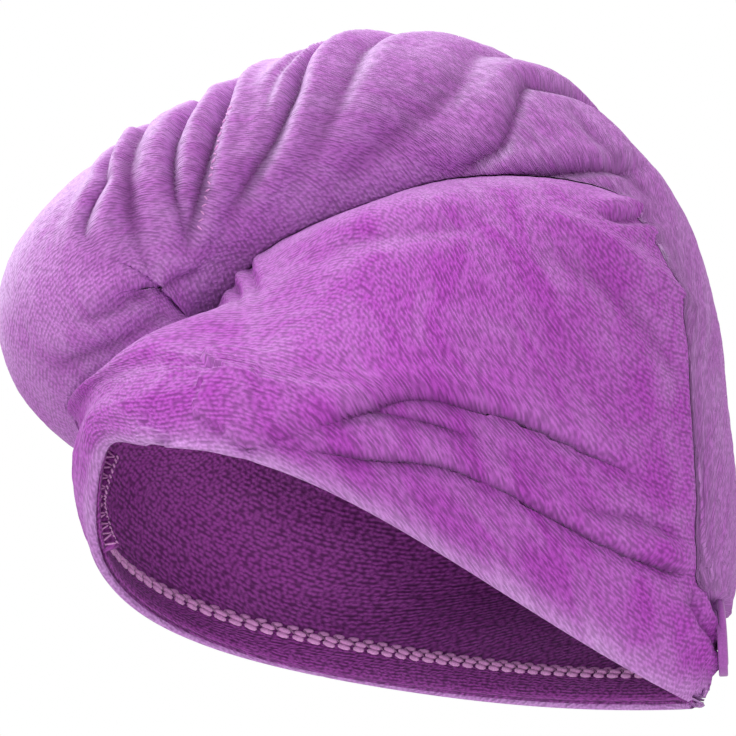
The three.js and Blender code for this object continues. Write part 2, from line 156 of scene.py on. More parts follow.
TAIL_FOLDS = (
    dict(run=((112, 272), (101, 255), (86, 230), (93, 204), (106, 182)),
         rise=-2.0, sink=4.6, bulge=1.8, reach=3.6, hold=3.2, fade_in=0.4, fade_out=0.1, wrap=0.25),
    dict(run=((172, 280), (150, 270), (138, 235), (131, 202), (130, 158)),
         rise=-0.6, sink=4.0, bulge=1.8, reach=5.5, hold=3.2, fade_in=0.3, fade_out=0.1, wrap=0.5),
    dict(run=((200, 262), (184, 225), (176, 190), (174, 155), (178, 131), (194, 106)),
         rise=-1.6, sink=4.6, bulge=1.5, reach=3.4, hold=3.2, fade_in=0.15, fade_out=0.1, wrap=0.7),
    dict(run=((206, 264), (190, 250), (192, 235), (202, 188), (209, 153), (216, 124), (226, 98)),
         rise=-1.2, sink=5.6, bulge=2.0, reach=3.8, hold=3.2, fade_in=0.1, fade_out=0.05, wrap=0.9),
    dict(run=((250, 190), (262, 130), (270, 94), (279, 73)),
         rise=0.0, sink=2.4, bulge=1.0, reach=3.0, hold=3.2, fade_in=0.4, fade_out=0.1, wrap=0.6),
    dict(run=((222, 250), (234, 212), (251, 181), (275, 141), (286, 113), (296, 87), (303, 61)),
         rise=-1.0, sink=5.2, bulge=2.0, reach=4.2, hold=3.2, fade_in=0.12, fade_out=0.05, wrap=0.9),
    dict(run=((250, 246), (290, 200), (318, 140), (338, 103), (352, 70), (370, 40)),
         rise=-0.8, sink=3.4, bulge=1.4, reach=6.5, hold=3.2, fade_in=0.4, fade_out=0.1, wrap=0.8),
    dict(run=((290, 226), (340, 180), (400, 130), (450, 92), (480, 50)),
         rise=0.0, sink=2.0, bulge=1.2, reach=9.0, hold=3.2, fade_in=0.3, fade_out=0.3, wrap=0.3),
    dict(run=((455, 184), (470, 164), (499, 147), (512, 115), (523, 85)),
         rise=1.8, sink=2.2, bulge=1.0, reach=5.0, hold=3.2, fade_in=0.1, fade_out=0.4, wrap=0.4),
    dict(run=((474, 186), (532, 176), (568, 170), (603, 165), (626, 162), (650, 165)),
         rise=2.4, sink=2.6, bulge=1.2, reach=4.0, hold=3.2, fade_in=0.15, fade_out=0.3, wrap=0.0),
    dict(run=((212, 274), (180, 283), (140, 296), (96, 316), (52, 326)),
         rise=-0.8, sink=2.2, bulge=1.2, reach=5.0, hold=3.2, fade_in=0.1, fade_out=0.4, wrap=0.0),
    dict(run=((206, 290), (160, 318), (116, 342), (70, 362), (36, 374)),
         rise=-0.8, sink=2.0, bulge=1.2, reach=5.5, hold=3.2, fade_in=0.2, fade_out=0.3, wrap=0.0),
    dict(run=((560, 100), (600, 140), (640, 176), (670, 215)),
         rise=0.0, sink=2.2, bulge=1.1, reach=7.0, hold=3.2, fade_in=0.3, fade_out=0.3, wrap=0.0),
)
WRAP_TWIST = 0.09  # of the tail's length, how far on a fold is by the time it has gone round a quarter
HUB = (222, 270)  # pixels, the dimple that the folds run out of
HUB_DEPTH, HUB_REACH = 2.5, 9.0  # mm
LEAST_WALL = 1.5  # mm, the thinnest that a fold may leave the hood's wall
EDGE_FOLD = dict(rise=-2.4, sink=0.4, bulge=0.6, reach=3.6, hold=4.5, fade_in=0.25, fade_out=0.02)
FULLNESS = ((172, 300), 9.0, 20.0)  # pixels and mm: where the tail swells below the dimple
EDGE_START, EDGE_FULL = 0.6, 0.76  # shares of the tail's length: its edges come down on to the hood


def settings():
    return bpy.context.scene.turban_towel


def smooth(value, low, high):
    t = np.clip((value - low) / (high - low), 0.0, 1.0)
    return t * t * (3 - 2 * t)


def unit(vectors):
    return vectors / np.maximum(np.linalg.norm(vectors, axis=-1, keepdims=True), 1e-9)


def row_at(rows, share):
    """The values at shares of the way down a table, on a smooth curve through its rows."""
    last = len(rows) - 1
    place = np.clip(share, 0.0, 1.0) * last
    index = np.minimum(place.astype(int), last - 1)
    t = (place - index)[..., None]
    b, c = rows[index], rows[index + 1]
    a = np.where((index > 0)[..., None], rows[np.maximum(index - 1, 0)], 2 * b - c)
    d = np.where((index + 2 <= last)[..., None], rows[np.minimum(index + 2, last)], 2 * c - b)
    values = b + 0.5 * t * (c - a + t * (2 * a - 5 * b + 4 * c - d + t * (3 * (b - c) + d - a)))
    return np.moveaxis(values, -1, 0)


def hood_point(share, turn, lip):
    """Points of the hood's wall: share 0 at the opening to 1 at the crown, turn 0 at the forehead."""
    size = settings()
    share, turn = np.broadcast_arrays(np.asarray(share, float), np.asarray(turn, float))
    front, back, width, egg, up, tilt, lift, roll = row_at(HOOD_ROWS, share)
    angle = 2 * np.pi * turn
    cos, sin = np.cos(angle), np.sin(angle)
    ahead = (1 + cos) / 2
    slope = tilt * cos + lift * sin**2 * (1 + cos)
    far = np.clip(-sin, 0, 1) ** 2 * np.clip(1 - share / FAR_REACH, 0, 1) ** 2
    half_length, half_width = size.opening_length / MM / 2, size.hood_width / MM / 2
    tuck = np.exp(-(((turn - np.floor(turn) - TUCK_TURN) / TUCK_SPREAD) ** 2))
    tuck = tuck * np.clip(1 - share / TUCK_REACH, 0, 1)
    x = half_width * width * sin * (1 + egg * cos) - FAR_FLARE * far
    y = half_length * ((front - roll * lip) * ahead + back * (1 - ahead))
    z = size.hood_height / MM * up + size.opening_drop / MM / 2 * slope - FAR_DROP * far + TUCK * tuck
    return np.stack((x, y, z), -1)


def hood_normal(share, turn, lip):
    up = hood_point(np.minimum(share + SHARE_STEP, 1), turn, lip) - hood_point(
        np.maximum(share - SHARE_STEP, 0), turn, lip)
    around = hood_point(share, turn + SHARE_STEP, lip) - hood_point(share, turn - SHARE_STEP, lip)
    return unit(np.cross(around, up))


def inside_point(share, turn, depth):
    """A point in the hollow, depth in from the wall's inner face."""
    wall = settings().cloth / MM
    return hood_point(share, turn, 0.0) - (wall + depth)[..., None] * hood_normal(share, turn, 0.0)


def tail_point(share, turn):
    """Points of the wound tail: turn 0 on its left side, 0.25 on its underside, 0.75 outside."""
    size = settings()
    share, turn = np.broadcast_arrays(np.asarray(share, float), np.asarray(turn, float))
    half_length, height = size.opening_length / MM / 2, size.hood_height / MM
    along, up, over, under, width = row_at(TAIL_ROWS, share)
    ahead, behind = row_at(TAIL_ROWS, share + SHARE_STEP), row_at(TAIL_ROWS, share - SHARE_STEP)
    run, rise = half_length * (ahead[0] - behind[0]), height * (ahead[1] - behind[1])
    outward = unit(np.stack((np.zeros_like(run), -rise, run), -1))
    side, out = np.cos(2 * np.pi * turn), -np.sin(2 * np.pi * turn)
    across = size.tail_width / MM
    centre = np.stack((np.zeros_like(run), half_length * along, height * up), -1)
    thick = np.where(out > 0, over, under) * np.abs(out) ** (PINCH * smooth(share, PINCH_START, 1))
    point = centre + (across * thick * out)[..., None] * outward
    point[..., 0] += across * width * side
    return point


def grid_normals(points, wrap_rows=False):
    """Normals of a grid of points whose second axis closes on itself."""
    down = np.gradient(points, axis=0)
    around = np.roll(points, -1, 1) - np.roll(points, 1, 1)
    return unit(np.cross(around, down))


def camera_axes():
    a, e = math.radians(VIEW_AZIMUTH), math.radians(VIEW_ELEVATION)
    back = np.array((math.sin(a) * math.cos(e), -math.cos(a) * math.cos(e), math.sin(e)))
    right = np.array((math.cos(a), math.sin(a), 0.0))
    return right, np.cross(back, right), back


def pixel_rays(pixels):
    """The camera's place and the directions through places of the photograph's frame."""
    right, up, back = camera_axes()
    middle = FRAME_PIXELS / 2
    offsets = (np.asarray(pixels, float) - middle) * MM_PER_PIXEL
    eye = VIEW_TARGET + VIEW_DISTANCE * back
    aims = VIEW_TARGET + offsets[:, :1] * right - offsets[:, 1:] * up
    return eye, unit(aims - eye)


def surface_tree(points):
    rows, around = points.shape[:2]
    return BVHTree.FromPolygons(
        [Vector(p) for p in points.reshape(-1, 3)], grid_faces(rows, around).tolist())


def find_on(tree, pixels):
    """Where the rays through pixels meet a surface, or pass it most closely."""
    eye, rays = pixel_rays(pixels)
    found = []
    for ray in rays:
        hit = tree.ray_cast(Vector(eye), Vector(ray))[0]
        if hit is None:
            reach = float(np.dot(VIEW_TARGET - eye, ray))
            near = tree.find_nearest(Vector(eye + ray * reach))[0]
            reach = float(np.dot(np.array(near) - eye, ray))
            hit = tree.find_nearest(Vector(eye + ray * reach))[0]
        found.append(tuple(hit))
    return np.array(found)


def smooth_run(points, pieces=6):
    """A run of places, with more between them on a smooth curve."""
    count = (len(points) - 1) * pieces + 1
    return np.moveaxis(row_at(np.asarray(points), np.linspace(0, 1, count)), 0, -1)


def fold_push(points, normals, run, fold):
    """How far, along the normal and across the run, a fold moves each point."""
    starts, ends = run[:-1], run[1:]
    spans = ends - starts
    lengths = np.linalg.norm(spans, axis=1)
    keep = lengths > 1e-6
    starts, spans, lengths = starts[keep], spans[keep], lengths[keep]
    before = np.concatenate(((0.0,), np.cumsum(lengths)[:-1]))
    total = lengths.sum()
    wide = max(6.0, 2.2 * fold["hold"]) * fold["reach"]
    low, high = run.min(0) - wide, run.max(0) + wide
    near = np.flatnonzero(((points > low) & (points < high)).all(1))
    best = np.full(len(near), 1e9)
    where = np.zeros(len(near))
    side = np.zeros(len(near))
    across = np.zeros((len(near), 3))
    place, facing = points[near], normals[near]
    beside = normals[[int(((points - start) ** 2).sum(1).argmin()) for start in starts]]
    local = np.zeros((len(near), 3))
    for start, span, length, gone, face in zip(starts, spans, lengths, before, beside):
        t = np.clip((place - start) @ span / length**2, 0.0, 1.0)
        off = place - start - t[:, None] * span
        distance = np.linalg.norm(off, axis=1)
        closer = distance < best
        way = unit(np.cross(span / length, facing[closer]))
        best[closer] = distance[closer]
        where[closer] = (gone + t[closer] * length) / total
        side[closer] = np.einsum("ij,ij->i", off[closer], way)
        across[closer] = way
        local[closer] = face
    reach = fold["reach"]
    strength = smooth(where, 0, fold["fade_in"]) * smooth(1 - where, 0, fold["fade_out"])
    strength *= settings().fold_depth * smooth(np.einsum("ij,ij->i", facing, local), 0.0, 0.45)
    left = np.clip(-side / reach, 0, None)
    right = np.clip(side / reach, 0, None)
    edge = 1 - np.exp(-((best / (0.45 * reach)) ** 2))
    over = fold["rise"] * np.where(side < 0, edge * np.exp(-((left / fold["hold"]) ** 2)),
                                   -0.35 * edge * np.exp(-((right / 2.0) ** 2)))
    crease = -fold["sink"] * np.exp(-((best / (0.6 * reach)) ** 2))
    swell = fold["bulge"] * np.exp(-(((best - 1.5 * reach) / reach) ** 2))
    push = np.zeros(len(points))
    push[near] = strength * (over + crease + swell) * (best < wide)
    slide = np.zeros((len(points), 3))
    lean = strength * abs(fold["rise"]) * 0.55 * np.exp(-((best / (0.7 * reach)) ** 2))
    upper = (side < 0) if fold["rise"] > 0 else (side > 0)
    toward = 1.0 if fold["rise"] > 0 else -1.0
    slide[near] = (lean * upper * toward)[:, None] * across
    # Painted shade along the fold's crease, which darkens the cloth's colour there.
    shade = np.zeros(len(points))
    shade[near] = strength * fold["shade"] * np.exp(-((best / (0.42 * reach)) ** 2))
    return push, slide, shade


def grid_faces(rows, around):
    i, j = np.meshgrid(np.arange(rows - 1), np.arange(around), indexing="ij")
    a, b = i * around + j, i * around + (j + 1) % around
    return np.stack((a, b, b + around, a + around), -1).reshape(-1, 4)


def make_grid(name, points, span, rows_up, material, pale=None, swap=False, shade=None):
    """A closed mesh over rings of points, with fans at both ends and UVs in millimetres of cloth."""
    rows, around = points.shape[:2]
    faces = grid_faces(rows, around).tolist()
    corners = points.reshape(-1, 3)
    tops = np.stack((points[0].mean(0), points[-1].mean(0)))
    first, last = len(corners), len(corners) + 1
    end = (rows - 1) * around
    faces += [((j + 1) % around, j, first) for j in range(around)]
    faces += [(end + j, end + (j + 1) % around, last) for j in range(around)]
    mesh = bpy.data.meshes.new(name)
    mesh.from_pydata((np.concatenate((corners, tops)) * MM).tolist(), [], faces)
    u = np.linspace(0, span, around + 1)
    i, j = np.meshgrid(np.arange(rows - 1), np.arange(around), indexing="ij")
    quad_u = np.stack((u[j], u[j + 1], u[j + 1], u[j]), -1).reshape(-1)
    nxt = (j + 1) % around
    quad_v = np.stack((rows_up[i, j], rows_up[i, nxt], rows_up[i + 1, nxt], rows_up[i + 1, j]), -1)
    fan_u = np.stack((u[1:], u[:-1], u[:-1]), -1).reshape(-1)
    fan_u2 = np.stack((u[:-1], u[1:], u[:-1]), -1).reshape(-1)
    fan_v = np.repeat(rows_up[0], 3)
    fan_v2 = np.repeat(rows_up[-1], 3)
    uv = np.stack((np.concatenate((quad_u, fan_u, fan_u2)),
                   np.concatenate((quad_v.reshape(-1), fan_v, fan_v2))), -1) / 100
    uv = uv[:, ::-1] if swap else uv
    mesh.uv_layers.new(name="cloth").data.foreach_set("uv", uv.reshape(-1))
    # The pale attribute carries the painted highlight and the shade attribute the painted crease shade.
    for layer, grid in (("pale", pale), ("shade", shade)):
        if grid is not None:
            values = np.concatenate((grid.reshape(-1), grid[0].mean(keepdims=True), grid[-1].mean(keepdims=True)))
            mesh.attributes.new(layer, "FLOAT", "POINT").data.foreach_set("value", values)
    mesh.polygons.foreach_set("use_smooth", [True] * len(mesh.polygons))
    mesh.materials.append(material)
    mesh.update()
    piece = bpy.data.objects.new(name, mesh)
    bpy.context.scene.collection.objects.link(piece)
    return piece


def distance_up(points):
    """How far up the cloth each point of a grid is, in millimetres."""
    steps = np.linalg.norm(np.diff(points, axis=0), axis=2)
    return np.concatenate((np.zeros((1, points.shape[1])), np.cumsum(steps, axis=0)))


def grain(shape, seed, size):
    """Smooth random values from -1 to 1 over a grid that closes on itself along its second axis."""
    dice = np.random.default_rng(seed)
    rows, around = max(int(shape[0] / size), 2), max(int(shape[1] / size), 2)
    coarse = dice.uniform(-1, 1, (rows + 2, around))
    y = np.linspace(0, rows, shape[0])
    x = np.linspace(0, around, shape[1], endpoint=False)
    yi, xi = y.astype(int), x.astype(int)
    fy, fx = smooth(y - yi, 0, 1)[:, None], smooth(x - xi, 0, 1)[None, :]
    xn = (xi + 1) % around
    yi = np.minimum(yi, rows)
    low = coarse[yi][:, xi] * (1 - fx) + coarse[yi][:, xn] * fx
    high = coarse[yi + 1][:, xi] * (1 - fx) + coarse[yi + 1][:, xn] * fx
    return low * (1 - fy) + high * fy


# Materials
def node(tree, kind, **values):
    made = tree.nodes.new(kind)
    for key, value in values.items():
        if key in made.inputs:
            made.inputs[key].default_value = value
        else:
            setattr(made, key, value)
    return made


def linear(colour):
    """A picked colour, as the shader reads it."""
    return (*colour, 1.0)


def pile_cloth(name, colour, pale, painted_shade_colour, pitch, relief, pale_share, sheen):
    """Looped pile in rows across the cloth's UVs, with brushed patches and a pale sheen, painted shade in the
    pits between the loops and in the folds' creases, and a painted highlight where the pale attribute is high.
    """
    made = bpy.data.materials.new(name)
    made.use_nodes = True
    tree = made.node_tree
    tree.nodes.clear()
    link = tree.links.new
    out = node(tree, "ShaderNodeOutputMaterial")
    shader = node(tree, "ShaderNodeBsdfPrincipled", Roughness=0.85)
    shader.inputs["Specular IOR Level"].default_value = 0.12
    shader.inputs["Sheen Weight"].default_value = sheen
    shader.inputs["Sheen Roughness"].default_value = 0.45
    shader.inputs["Sheen Tint"].default_value = linear(pale)
    place = node(tree, "ShaderNodeUVMap", uv_map="cloth")
    wobble = node(tree, "ShaderNodeTexNoise", Scale=14.0, Detail=2.0)
    link(place.outputs["UV"], wobble.inputs["Vector"])
    shift = node(tree, "ShaderNodeVectorMath", operation="MULTIPLY_ADD")
    shift.inputs[1].default_value = (0.012, 0.012, 0.0)
    link(wobble.outputs["Color"], shift.inputs[0])
    link(place.outputs["UV"], shift.inputs[2])
    rows = node(tree, "ShaderNodeTexWave", wave_type="BANDS", bands_direction="Y",
                wave_profile="SIN", Scale=10 * math.pi / pitch,
                Distortion=0.6, Detail=1.0)
    rows.inputs["Detail Scale"].default_value = 3.0
    link(shift.outputs["Vector"], rows.inputs["Vector"])
    stretch = node(tree, "ShaderNodeMapping")
    stretch.inputs["Scale"].default_value = (0.85, 1.0, 1.0)
    link(shift.outputs["Vector"], stretch.inputs["Vector"])
    loops = node(tree, "ShaderNodeTexVoronoi", feature="SMOOTH_F1", voronoi_dimensions="2D",
                 Scale=100 / pitch * 1.15, Smoothness=0.35)
    link(stretch.outputs["Vector"], loops.inputs["Vector"])
    lint = node(tree, "ShaderNodeTexNoise", Scale=160.0, Detail=3.0)
    link(place.outputs["UV"], lint.inputs["Vector"])
    tops = node(tree, "ShaderNodeMapRange")
    tops.inputs["From Min"].default_value = 0.0
    tops.inputs["From Max"].default_value = 0.75
    tops.inputs["To Min"].default_value = 1.0
    tops.inputs["To Max"].default_value = 0.0
    link(loops.outputs["Distance"], tops.inputs["Value"])
    woven = node(tree, "ShaderNodeMix", data_type="FLOAT")
    woven.inputs["Factor"].default_value = 0.3
    link(tops.outputs["Result"], woven.inputs["A"])
    link(rows.outputs["Fac"], woven.inputs["B"])
    height = node(tree, "ShaderNodeMix", data_type="FLOAT")
    height.inputs["Factor"].default_value = 0.25
    link(woven.outputs["Result"], height.inputs["A"])
    link(lint.outputs["Fac"], height.inputs["B"])
    bump = node(tree, "ShaderNodeBump", Strength=relief, Distance=0.0009)
    link(height.outputs["Result"], bump.inputs["Height"])
    link(bump.outputs["Normal"], shader.inputs["Normal"])

    def blend(factor, first, second):
        mixed = node(tree, "ShaderNodeMix", data_type="RGBA")
        mixed.clamp_factor = True
        link(factor, mixed.inputs["Factor"])
        for value, key in ((first, "A"), (second, "B")):
            socket = next(s for s in mixed.inputs if s.name == key and s.type == "RGBA")
            if isinstance(value, tuple):
                socket.default_value = value
            else:
                link(value, socket)
        return next(s for s in mixed.outputs if s.type == "RGBA")

    # Painted shade: the pits between the loops are blended towards a darker copy of the pile's colour.
    depth = node(tree, "ShaderNodeMapRange")
    depth.inputs["From Min"].default_value = 0.25
    depth.inputs["From Max"].default_value = 0.72
    link(height.outputs["Result"], depth.inputs["Value"])
    body = blend(depth.outputs["Result"], linear(painted_shade_colour), linear(colour))
    brushed = node(tree, "ShaderNodeTexNoise", Scale=5.5, Detail=4.0, Distortion=0.6)
    link(place.outputs["UV"], brushed.inputs["Vector"])
    patch = node(tree, "ShaderNodeMapRange")
    patch.inputs["From Min"].default_value = 0.38
    patch.inputs["From Max"].default_value = 0.68
    link(brushed.outputs["Fac"], patch.inputs["Value"])
    # Painted highlight and sheen: the pale attribute, high on faces turned up towards the key light and along the
    # rolled rim, blends in the pale colour, with random brushed patches added and more of it on the loops' tops.
    lit = node(tree, "ShaderNodeAttribute", attribute_name="pale")
    share = node(tree, "ShaderNodeMath", operation="MULTIPLY_ADD")
    share.inputs[1].default_value = 0.26
    link(patch.outputs["Result"], share.inputs[0])
    link(lit.outputs["Fac"], share.inputs[2])
    tipped = node(tree, "ShaderNodeMath", operation="MULTIPLY")
    link(share.outputs["Value"], tipped.inputs[0])
    topped = node(tree, "ShaderNodeMapRange")
    topped.inputs["From Min"].default_value = 0.3
    topped.inputs["From Max"].default_value = 0.8
    topped.inputs["To Min"].default_value = 0.6 * pale_share
    topped.inputs["To Max"].default_value = pale_share
    link(height.outputs["Result"], topped.inputs["Value"])
    link(topped.outputs["Result"], tipped.inputs[1])
    # Painted shade: the shade attribute darkens the creases of the folds towards a still darker copy of the shade
    # colour.
    crease = node(tree, "ShaderNodeAttribute", attribute_name="shade")
    painted_crease_shade = node(tree, "ShaderNodeMath", operation="MULTIPLY")
    painted_crease_shade.inputs[1].default_value = 0.7
    link(crease.outputs["Fac"], painted_crease_shade.inputs[0])
    tipped_body = blend(tipped.outputs["Value"], body, linear(pale))
    shaded = blend(painted_crease_shade.outputs["Value"], tipped_body, linear(tuple(0.45 * c for c in painted_shade_colour)))
    link(shaded, shader.inputs["Base Color"])
    link(shader.outputs["BSDF"], out.inputs["Surface"])
    return made


def thread(name, colour, relief=0.5):
    """Bulked sewing thread with a fine lengthwise twist."""
    made = bpy.data.materials.new(name)
    made.use_nodes = True
    tree = made.node_tree
    shader = tree.nodes["Principled BSDF"]
    shader.inputs["Roughness"].default_value = 0.6
    shader.inputs["Specular IOR Level"].default_value = 0.25
    shader.inputs["Sheen Weight"].default_value = 0.4
    place = node(tree, "ShaderNodeTexCoord")
    strands = node(tree, "ShaderNodeTexNoise", Scale=1600.0, Detail=2.0)
    tree.links.new(place.outputs["Object"], strands.inputs["Vector"])
    bump = node(tree, "ShaderNodeBump", Strength=relief, Distance=0.0003)
    tree.links.new(strands.outputs["Fac"], bump.inputs["Height"])
    tree.links.new(bump.outputs["Normal"], shader.inputs["Normal"])
    ramp = node(tree, "ShaderNodeMapRange")
    ramp.inputs["From Min"].default_value = 0.3
    ramp.inputs["From Max"].default_value = 0.7
    tree.links.new(strands.outputs["Fac"], ramp.inputs["Value"])
    mixed = node(tree, "ShaderNodeMix", data_type="RGBA")
    sockets = [s for s in mixed.inputs if s.type == "RGBA"]
    sockets[0].default_value = (*(0.72 * c for c in colour), 1.0)
    sockets[1].default_value = linear(colour)
    tree.links.new(ramp.outputs["Result"], mixed.inputs["Factor"])
    tree.links.new(next(s for s in mixed.outputs if s.type == "RGBA"), shader.inputs["Base Color"])
    return made


def material(name):
    """One of the part's materials, made when it is first asked for."""
    found = bpy.data.materials.get(name)
    if found:
        return found
    look = settings()
    pile, pale = tuple(look.pile_colour), tuple(look.pale_colour)
    inside, seam = tuple(look.inside_colour), tuple(look.thread_colour)
    pitch = look.pile_pitch / MM
    # The darker copies of the pile colours passed below are the painted shade in the pits and creases.
    if name == "outer_pile":
        return pile_cloth(name, pile, pale, tuple(0.5 * c for c in pile), pitch, 0.9, 0.85, 0.22)
    if name == "inner_pile":
        return pile_cloth(name, inside, pale, tuple(0.35 * c for c in inside), pitch * 1.1, 0.8, 0.12, 0.15)
    if name == "stitch_thread":
        return thread(name, seam)
    if name == "crossing_thread":
        return thread(name, tuple(0.55 * c for c in seam))
    return thread(name, tuple(look.button_colour), 0.1)


def done(piece, slot_name, *nodes):
    """Puts a finished piece under the root body and hides the parts of model.glb that it stands for; slot_name is
    not used.
    """
    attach(piece, "root")
    if nodes:
        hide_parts(*nodes)
    return piece


def dents(points, normals, hub, scale=1.0):
    """The dimple that the folds run out of."""
    off = np.linalg.norm(points - hub, axis=1) / HUB_REACH
    return -scale * HUB_DEPTH * np.exp(-(off**2))


def folded(points, folds, lines, mirrored):
    """A grid of points with its folds, the mirrored ones on the right side as well."""
    flat = points.reshape(-1, 3).copy()
    facing = grid_normals(points).reshape(-1, 3)
    push, shade = np.zeros(len(flat)), np.zeros(len(flat))
    slide = np.zeros_like(flat)
    for fold, run in zip(folds, lines):
        # Each fold's painted crease shade grows with its sink and its rise.
        fold = dict(shade=min(1.0, max(fold["sink"], 0.0) / 4.0 + 0.1 * abs(fold["rise"])), **fold)
        sides = ((1.0, 1.0), (-1.0, 1.0)) if mirrored else ((1.0, 1.0),)
        for sign, share in sides:
            turned = run * np.array((sign, 1.0, 1.0))
            if sign < 0:
                turned = turned[::-1]
                fold = dict(fold, fade_in=fold["fade_out"], fade_out=fold["fade_in"])
            more, moved, darker = fold_push(flat, facing, turned, fold)
            push += more * share
            slide += moved * share
            shade = np.maximum(shade, darker)
    return flat, facing, push, slide, shade


def hood_grids():
    """The outer face and the hollow's face of the hood, before folds."""
    turn = np.arange(HOOD_AROUND) / HOOD_AROUND
    outer = hood_point(np.linspace(0, 1, HOOD_LEVELS + 1)[:, None], turn[None, :], 1.0)
    share, turns = np.broadcast_arrays(np.linspace(1, 0, HOLLOW_LEVELS + 1)[:, None], turn[None, :])
    hollow = inside_point(share, turns, np.zeros_like(share))
    return outer, hollow


def crest(level, turn):
    """How far the crest of the rolled edge is drawn up at each side of the forehead."""
    off = np.abs(turn - np.round(turn))
    return LIP_RISE * np.exp(-(((off - LIP_TURN) / LIP_SPREAD) ** 2) - ((level - LIP_SHARE) / LIP_REACH) ** 2)


def hub_on(tree):
    return find_on(tree, (HUB,))[0]


def folded_hood():
    outer, hollow = hood_grids()
    levels = np.linspace(0, 1, HOOD_LEVELS + 1)[:, None]
    drawn = crest(levels, (np.arange(HOOD_AROUND) / HOOD_AROUND)[None, :])
    outer = outer + drawn[..., None] * np.array((0.2, -0.35, 0.9)) * (np.sign(outer[..., :1]) ** (0, 1, 1))
    outer = outer.copy()
    tree = surface_tree(outer)
    lines = [smooth_run(find_on(tree, fold["run"])) for fold in HOOD_FOLDS]
    shares = np.linspace(EDGE_FULL, 1.0, 14)
    edge = tail_point(shares, np.zeros_like(shares))
    lines.append(smooth_run(np.array([tuple(tree.find_nearest(Vector(p))[0]) for p in edge]), 4))
    flat, facing, push, slide, shade = folded(outer, (*HOOD_FOLDS, EDGE_FOLD), lines, True)
    level = np.repeat(np.linspace(0, 1, HOOD_LEVELS + 1), HOOD_AROUND)
    hub = hub_on(tree)
    push += dents(flat, facing, hub, 0.6) + dents(flat, facing, hub * (-1, 1, 1), 0.6)
    shape = outer.shape[:2]
    slack = 0.9 * grain(shape, 3, 26) + 0.35 * grain(shape, 4, 9) + 0.16 * grain(shape, 5, 2)
    push += slack.reshape(-1) * smooth(level, 0.0, 0.06)
    push = np.maximum(push, -settings().cloth / MM + 1.1)
    hold = smooth(level, 0.0, np.where(flat[:, 0] < 0, 0.07, 0.015))
    moved = flat + (push * hold)[:, None] * facing + slide * hold[:, None]
    lining = surface_tree(hollow[::-1])
    for index in range(HOOD_AROUND, len(moved)):
        near, normal, _, _ = lining.find_nearest(Vector(moved[index]))
        if (Vector(moved[index]) - near).dot(normal) < LEAST_WALL:
            moved[index] = near + LEAST_WALL * normal
    return moved.reshape(outer.shape), hollow, shade.reshape(outer.shape[:2])


class TURBAN_OT_hood(bpy.types.Operator):
    """Model the hood as one wall of cloth, with its rolled edge and its folds"""

    bl_idname = "turban.hood"
    bl_label = "Hood"

    def execute(self, context):
        outer, hollow, shade = folded_hood()
        ripple = 0.35 * grain(hollow.shape[:2], 8, 12) + 0.5 * grain(hollow.shape[:2], 9, 5)
        inward = -grid_normals(hollow[::-1])[::-1]
        level = np.linspace(1, 0, len(hollow))[:, None]
        gather = np.sin(level * 170.0) * smooth(level, 0.05, 0.12) * smooth(-level, -0.3, -0.16)
        tucks = 0.7 * gather * smooth(grain(hollow.shape[:2], 12, 30), -0.1, 0.5)
        hollow = hollow + ((np.abs(ripple) + tucks + 0.3) * smooth(level, 0.02, 0.1))[..., None] * inward
        middle, half = (outer[0] + hollow[-1]) / 2, (outer[0] - hollow[-1]) / 2
        down = unit(outer[0] - outer[2]) * np.linalg.norm(half, axis=1, keepdims=True)
        turns = np.linspace(math.pi, 0, RIM_STEPS + 2)[1:-1]
        rim = [middle + half * math.cos(a) + down * math.sin(a) for a in turns]
        points = np.concatenate((hollow, np.stack(rim), outer))
        plain_outer, plain_hollow = hood_grids()
        rows_up = distance_up(np.concatenate((plain_hollow, np.stack(rim), plain_outer)))
        facing = grid_normals(points)
        # Painted highlight: the pale attribute is higher on faces turned up and towards the key light, and
        # painted sheen runs along the rolled rim.
        pale = 0.5 * smooth(facing[..., 2] * 0.8 - facing[..., 1] * 0.3 + facing[..., 0] * 0.05, 0.2, 0.95)
        rim_rows = np.abs(np.arange(len(points)) - (len(hollow) + RIM_STEPS / 2))
        pale = pale + 0.55 * np.exp(-((rim_rows[:, None] / 12.0) ** 2))
        shade = np.concatenate((np.zeros((len(points) - len(shade), HOOD_AROUND)), shade))
        piece = make_grid("towel_hood", points, 560.0, rows_up, material("outer_pile"), pale, shade=shade)
        piece.data.materials.append(material("inner_pile"))
        inner_faces = HOOD_AROUND * len(hollow)
        inner = np.zeros(len(piece.data.polygons), int)
        inner[:inner_faces] = 1
        inner[-2 * HOOD_AROUND:-HOOD_AROUND] = 1
        piece.data.polygons.foreach_set("material_index", inner.tolist())
        done(piece, "towel_pile", "hood")
        return {"FINISHED"}


